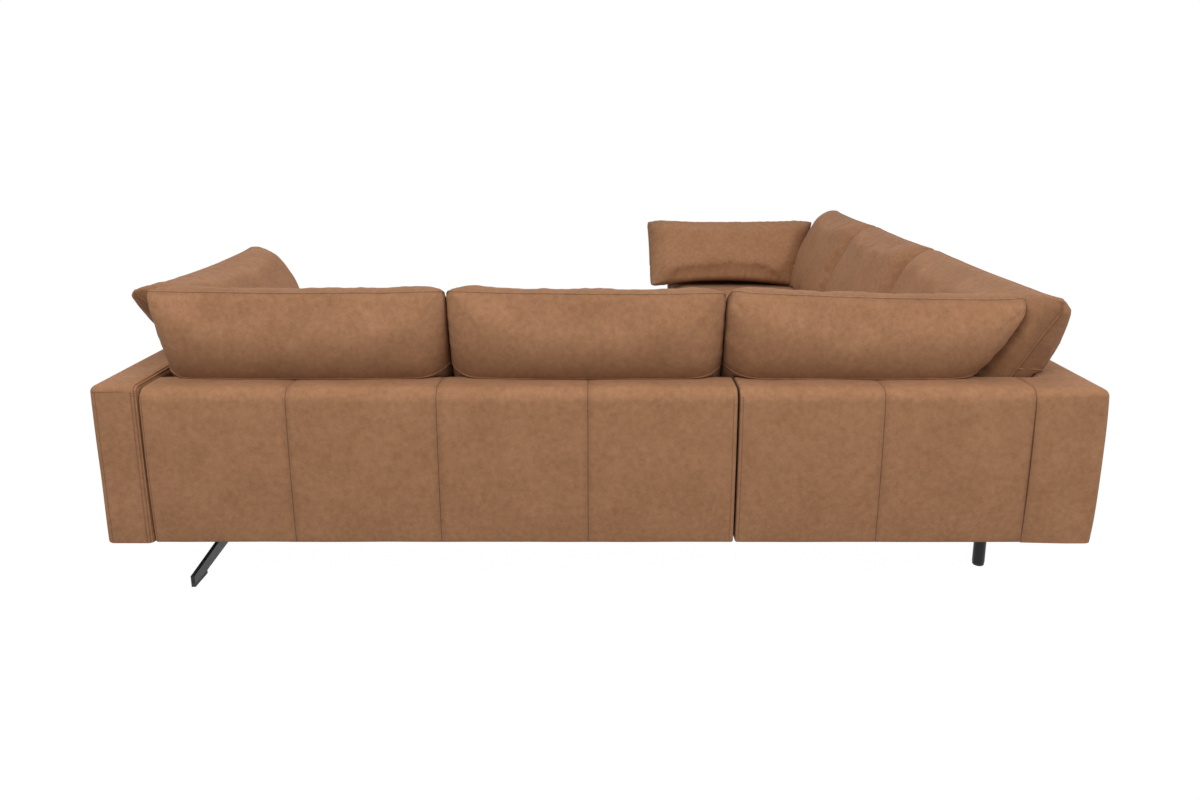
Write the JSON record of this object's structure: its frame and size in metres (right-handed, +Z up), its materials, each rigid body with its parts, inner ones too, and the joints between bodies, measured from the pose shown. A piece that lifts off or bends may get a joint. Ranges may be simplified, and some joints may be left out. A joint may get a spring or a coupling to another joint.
{
  "type": "sectional sofa",
  "caption": "Low L-shaped leather corner sofa in modules that pull apart, with boxed seats, loose leaning back and arm cushions, slim padded arms and dark metal feet.",
  "frame": {"origin": "on the floor, under the middle of the square that the sofa fills", "axes": "+Z up; the long back seen in the picture stands along -Y and faces -Y; the other back stands along +X; the corner is at (+X, -Y)"},
  "size_m": [2.75, 2.75, 0.8743],
  "materials": {
    "leather": "matte brushed tan leather",
    "black_metal": "satin black powder coat",
    "glide": "matte moulded",
    "timber": "plain sawn, hidden",
    "foam": "cut upholstery foam",
    "filling": "stuffed cotton inner",
    "webbing": "woven elastic strap",
    "lining": "thin non-woven dust cloth",
    "steel": "zinc plated"
  },
  "bodies": {
    "left_end_cushion": {"left_end_cushion_cover": "leather", "left_end_cushion_pad": "filling"},
    "left_middle_cushion": {"left_middle_cushion_cover": "leather", "left_middle_cushion_pad": "filling"},
    "corner_rear_cushion": {"corner_rear_cushion_cover": "leather", "corner_rear_cushion_pad": "filling"},
    "right_end_cushion": {"right_end_cushion_cover": "leather", "right_end_cushion_pad": "filling"},
    "right_middle_cushion": {"right_middle_cushion_cover": "leather", "right_middle_cushion_pad": "filling"},
    "corner_side_cushion": {"corner_side_cushion_cover": "leather", "corner_side_cushion_pad": "filling"},
    "left_arm_cushion": {"left_arm_cushion_cover": "leather", "left_arm_cushion_pad": "filling"},
    "right_arm_cushion": {"right_arm_cushion_cover": "leather", "right_arm_cushion_pad": "filling"},
    "corner_module": {"corner_back_cover": "leather", "corner_back_frame": "timber", "corner_base_frame": "timber", "corner_connector_jaws": "steel", "corner_leg_glides": "glide", "corner_leg_screws": "steel", "corner_legs": "black_metal", "corner_lining": "lining", "corner_padding": "foam", "corner_seat_cover": "leather", "corner_seat_foam": "foam", "corner_seat_webbing": "webbing"},
    "left_module": {"left_arm_cover": "leather", "left_arm_frame": "timber", "left_back_cover": "leather", "left_back_frame": "timber", "left_base_frame": "timber", "left_connector_tongues": "steel", "left_front_apron": "leather", "left_leg_glides": "glide", "left_leg_screws": "steel", "left_lining": "lining", "left_padding": "foam", "left_seat_covers": "leather", "left_seat_foam": "foam", "left_seat_webbing": "webbing", "left_sled_leg": "black_metal", "left_support_legs": "black_metal"},
    "right_module": {"right_arm_cover": "leather", "right_arm_frame": "timber", "right_back_cover": "leather", "right_back_frame": "timber", "right_base_frame": "timber", "right_connector_tongues": "steel", "right_front_apron": "leather", "right_leg_glides": "glide", "right_leg_screws": "steel", "right_lining": "lining", "right_padding": "foam", "right_seat_covers": "leather", "right_seat_foam": "foam", "right_seat_webbing": "webbing", "right_sled_leg": "black_metal", "right_support_legs": "black_metal"}
  },
  "joints": [
    {"name": "left_module_pull", "type": "slide", "parent": "corner_module", "child": "left_module", "axis": [-1, 0, 0], "range_m": [0, 0.3]},
    {"name": "right_module_pull", "type": "slide", "parent": "corner_module", "child": "right_module", "axis": [0, 1, 0], "range_m": [0, 0.3]},
    {"name": "left_end_cushion_lift", "type": "slide", "parent": "left_module", "child": "left_end_cushion", "axis": [0, -0.4226, 0.9063], "range_m": [0, 0.45]},
    {"name": "left_middle_cushion_lift", "type": "slide", "parent": "left_module", "child": "left_middle_cushion", "axis": [0, -0.4226, 0.9063], "range_m": [0, 0.45]},
    {"name": "corner_rear_cushion_lift", "type": "slide", "parent": "corner_module", "child": "corner_rear_cushion", "axis": [0, -0.4226, 0.9063], "range_m": [0, 0.45]},
    {"name": "right_end_cushion_lift", "type": "slide", "parent": "right_module", "child": "right_end_cushion", "axis": [0.4226, 0, 0.9063], "range_m": [0, 0.45]},
    {"name": "right_middle_cushion_lift", "type": "slide", "parent": "right_module", "child": "right_middle_cushion", "axis": [0.4226, 0, 0.9063], "range_m": [0, 0.45]},
    {"name": "corner_side_cushion_lift", "type": "slide", "parent": "corner_module", "child": "corner_side_cushion", "axis": [0.4226, 0, 0.9063], "range_m": [0, 0.45]},
    {"name": "left_arm_cushion_lift", "type": "slide", "parent": "left_module", "child": "left_arm_cushion", "axis": [-0.5299, 0, 0.848], "range_m": [0, 0.45]},
    {"name": "right_arm_cushion_lift", "type": "slide", "parent": "right_module", "child": "right_arm_cushion", "axis": [0, 0.454, 0.891], "range_m": [0, 0.45]}
  ]
}
